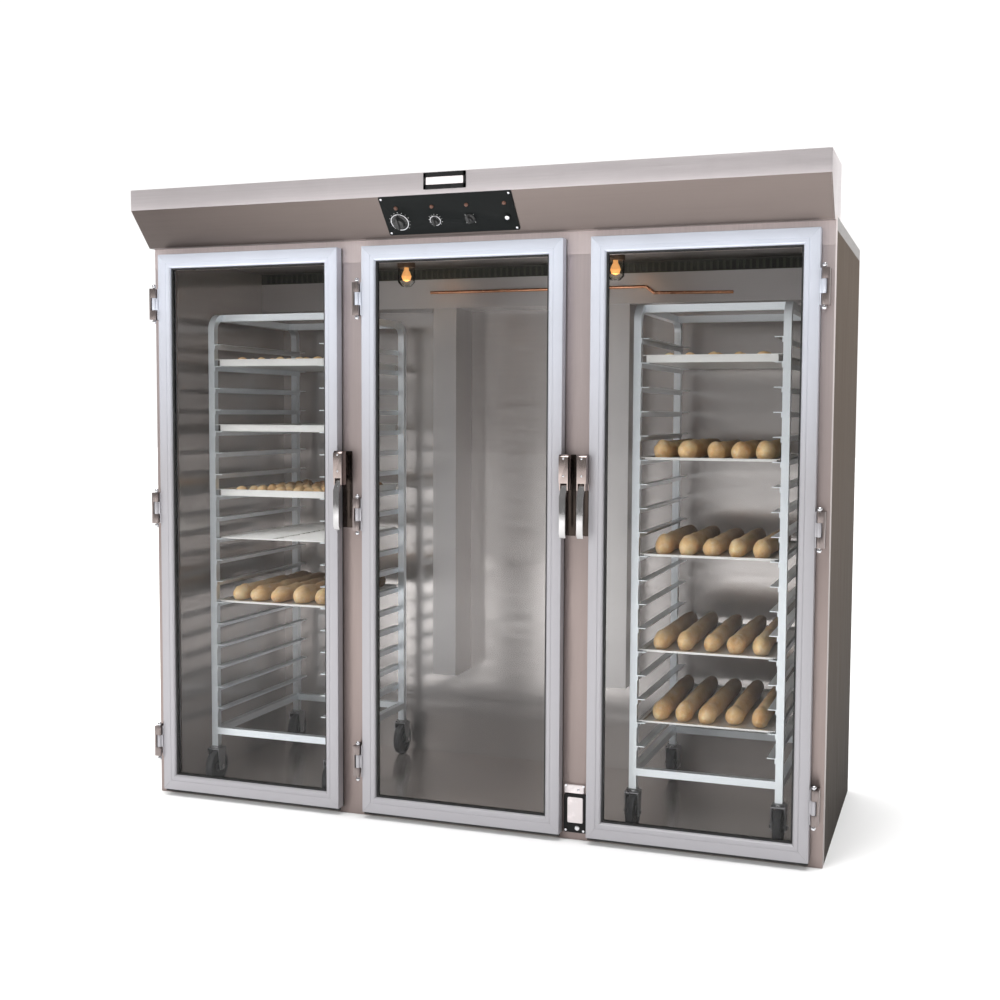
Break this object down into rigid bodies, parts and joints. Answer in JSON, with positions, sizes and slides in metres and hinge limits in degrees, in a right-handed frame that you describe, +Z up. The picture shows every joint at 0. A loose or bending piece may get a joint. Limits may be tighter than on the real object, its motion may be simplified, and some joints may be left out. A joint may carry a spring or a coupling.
{
  "type": "proofing cabinet",
  "caption": "Wide roll-in proofing cabinet with glazed hinged doors under a control hood, an air and humidity plenum inside, and wheeled tray racks.",
  "frame": {"origin": "on the floor, at the middle of the body's width and of its depth without the doors and the hood", "axes": "+X along the front to the right as seen from the front, +Y to the back, +Z up"},
  "size_m": [2.426, 1.061, 2.204],
  "materials": {
    "stainless": "brushed, satin",
    "galvanised": "satin",
    "panel_black": "satin black enamel",
    "plate": "black border, pale blank field",
    "knob_black": "moulded",
    "button": "polished",
    "pilot": "translucent amber",
    "screw": "polished",
    "copper": "drawn copper, slightly tarnished",
    "element": "heat-stained sheath",
    "motor_paint": "enamel",
    "fan_metal": "mill finish",
    "lamp_base": "glazed",
    "bulb": "warm, lit",
    "globe": "clear",
    "door_aluminium": "anodised satin",
    "door_glass": "clear double glazing",
    "seal_rubber": "matt black",
    "chrome": "polished, lightly worn",
    "rack_aluminium": "extruded, satin",
    "tray_aluminium": "used sheet pan",
    "fork_zinc": "zinc plated",
    "caster_tyre": "moulded tread"
  },
  "bodies": {
    "cabinet": {"air_plenum": "galvanised", "back_panel": "stainless", "blower_housing": "galvanised", "blower_motor": "motor_paint", "control_panel": "panel_black", "duct_columns": "galvanised", "face_header": "stainless", "face_posts": "stainless", "floor_pan": "stainless", "heater_elements": "element", "hinge_frame_leaves": "chrome", "hinge_pins": "chrome", "hood_end_caps": "stainless", "hood_shell": "stainless", "humidity_pan": "galvanised", "lamp_bases": "lamp_base", "lamp_bulbs": "bulb", "lamp_globes": "globe", "latch_strikes": "chrome", "name_plate": "plate", "panel_screws": "screw", "pilot_lamps": "pilot", "plenum_grille": "galvanised", "roof_panel": "stainless", "service_cover": "stainless", "side_panels": "stainless", "steam_pipe": "copper"},
    "left_door": {"left_door_frame": "door_aluminium", "left_door_glass": "door_glass", "left_door_seals": "seal_rubber", "left_door_hinge_leaves": "chrome", "left_door_latch": "chrome"},
    "middle_door": {"middle_door_frame": "door_aluminium", "middle_door_glass": "door_glass", "middle_door_seals": "seal_rubber", "middle_door_hinge_leaves": "chrome", "middle_door_latch": "chrome"},
    "right_door": {"right_door_frame": "door_aluminium", "right_door_glass": "door_glass", "right_door_seals": "seal_rubber", "right_door_hinge_leaves": "chrome", "right_door_latch": "chrome"},
    "left_door_lever": {"left_door_lever": "chrome"},
    "middle_door_lever": {"middle_door_lever": "chrome"},
    "right_door_lever": {"right_door_lever": "chrome"},
    "temperature_knob": {"temperature_knob": "knob_black"},
    "humidity_knob": {"humidity_knob": "knob_black"},
    "fan_knob": {"fan_knob": "knob_black"},
    "light_button": {"light_button": "button"},
    "blower_wheel": {"blower_wheel": "fan_metal"},
    "left_rack": {"left_rack_frame": "rack_aluminium", "left_rack_trays": "tray_aluminium", "left_rack_caster_forks": "fork_zinc"},
    "left_rack_front_wheels": {"left_rack_front_wheels": "caster_tyre"},
    "left_rack_rear_wheels": {"left_rack_rear_wheels": "caster_tyre"},
    "right_rack": {"right_rack_frame": "rack_aluminium", "right_rack_trays": "tray_aluminium", "right_rack_caster_forks": "fork_zinc"},
    "right_rack_front_wheels": {"right_rack_front_wheels": "caster_tyre"},
    "right_rack_rear_wheels": {"right_rack_rear_wheels": "caster_tyre"}
  },
  "joints": [
    {"name": "left_door_hinge", "type": "hinge", "parent": "cabinet", "child": "left_door", "pos_m": [-1.187, -0.504, 1.07], "axis": [0, 0, -1], "range_deg": [0, 110]},
    {"name": "middle_door_hinge", "type": "hinge", "parent": "cabinet", "child": "middle_door", "pos_m": [-0.374, -0.504, 1.07], "axis": [0, 0, -1], "range_deg": [0, 110]},
    {"name": "right_door_hinge", "type": "hinge", "parent": "cabinet", "child": "right_door", "pos_m": [1.187, -0.504, 1.07], "axis": [0, 0, 1], "range_deg": [0, 110]},
    {"name": "left_door_lever_pull", "type": "hinge", "parent": "left_door", "child": "left_door_lever", "pos_m": [-0.436, -0.52, 1.184], "axis": [-1, 0, 0], "range_deg": [0, 20], "stiffness_Nm_per_rad": 1, "springref_deg": -11.46},
    {"name": "middle_door_lever_pull", "type": "hinge", "parent": "middle_door", "child": "middle_door_lever", "pos_m": [0.377, -0.52, 1.184], "axis": [-1, 0, 0], "range_deg": [0, 20], "stiffness_Nm_per_rad": 1, "springref_deg": -11.46},
    {"name": "right_door_lever_pull", "type": "hinge", "parent": "right_door", "child": "right_door_lever", "pos_m": [0.436, -0.52, 1.184], "axis": [-1, 0, 0], "range_deg": [0, 20], "stiffness_Nm_per_rad": 1, "springref_deg": -11.46},
    {"name": "temperature_knob_turn", "type": "hinge", "parent": "cabinet", "child": "temperature_knob", "pos_m": [-0.197, -0.53519, 2.06121], "axis": [0, 0.7372, 0.6757], "range_deg": [0, 270]},
    {"name": "humidity_knob_turn", "type": "hinge", "parent": "cabinet", "child": "humidity_knob", "pos_m": [-0.069, -0.53519, 2.06121], "axis": [0, 0.7372, 0.6757], "range_deg": [0, 270]},
    {"name": "fan_knob_turn", "type": "hinge", "parent": "cabinet", "child": "fan_knob", "pos_m": [0.053, -0.53519, 2.06121], "axis": [0, 0.7372, 0.6757], "range_deg": [0, 120]},
    {"name": "light_button_push", "type": "slide", "parent": "cabinet", "child": "light_button", "axis": [0, 0.7372, 0.6757], "range_m": [0, 0.003], "stiffness_N_per_m": 400, "springref_m": -0.002},
    {"name": "blower_spin", "type": "hinge", "parent": "cabinet", "child": "blower_wheel", "pos_m": [0, 0.34, 1.905], "axis": [1, 0, 0], "continuous": true},
    {"name": "left_rack_roll", "type": "slide", "parent": "cabinet", "child": "left_rack", "axis": [0, 1, 0], "range_m": [-0.07, 0.025]},
    {"name": "left_rack_front_wheels_spin", "type": "hinge", "parent": "left_rack", "child": "left_rack_front_wheels", "pos_m": [-0.813, -0.32, 0.0758], "axis": [1, 0, 0], "range_deg": [-25, 65]},
    {"name": "left_rack_rear_wheels_spin", "type": "hinge", "parent": "left_rack", "child": "left_rack_rear_wheels", "pos_m": [-0.813, 0.315, 0.0758], "axis": [1, 0, 0], "range_deg": [-25, 65]},
    {"name": "right_rack_roll", "type": "slide", "parent": "cabinet", "child": "right_rack", "axis": [0, 1, 0], "range_m": [-0.07, 0.025]},
    {"name": "right_rack_front_wheels_spin", "type": "hinge", "parent": "right_rack", "child": "right_rack_front_wheels", "pos_m": [0.813, -0.32, 0.0758], "axis": [1, 0, 0], "range_deg": [-25, 65]},
    {"name": "right_rack_rear_wheels_spin", "type": "hinge", "parent": "right_rack", "child": "right_rack_rear_wheels", "pos_m": [0.813, 0.315, 0.0758], "axis": [1, 0, 0], "range_deg": [-25, 65]}
  ],
  "couplings": [
    {"joint": "left_rack_front_wheels_spin", "follows": "left_rack_roll", "rad_per_m": -15.748},
    {"joint": "left_rack_rear_wheels_spin", "follows": "left_rack_roll", "rad_per_m": -15.748},
    {"joint": "right_rack_front_wheels_spin", "follows": "right_rack_roll", "rad_per_m": -15.748},
    {"joint": "right_rack_rear_wheels_spin", "follows": "right_rack_roll", "rad_per_m": -15.748}
  ]
}
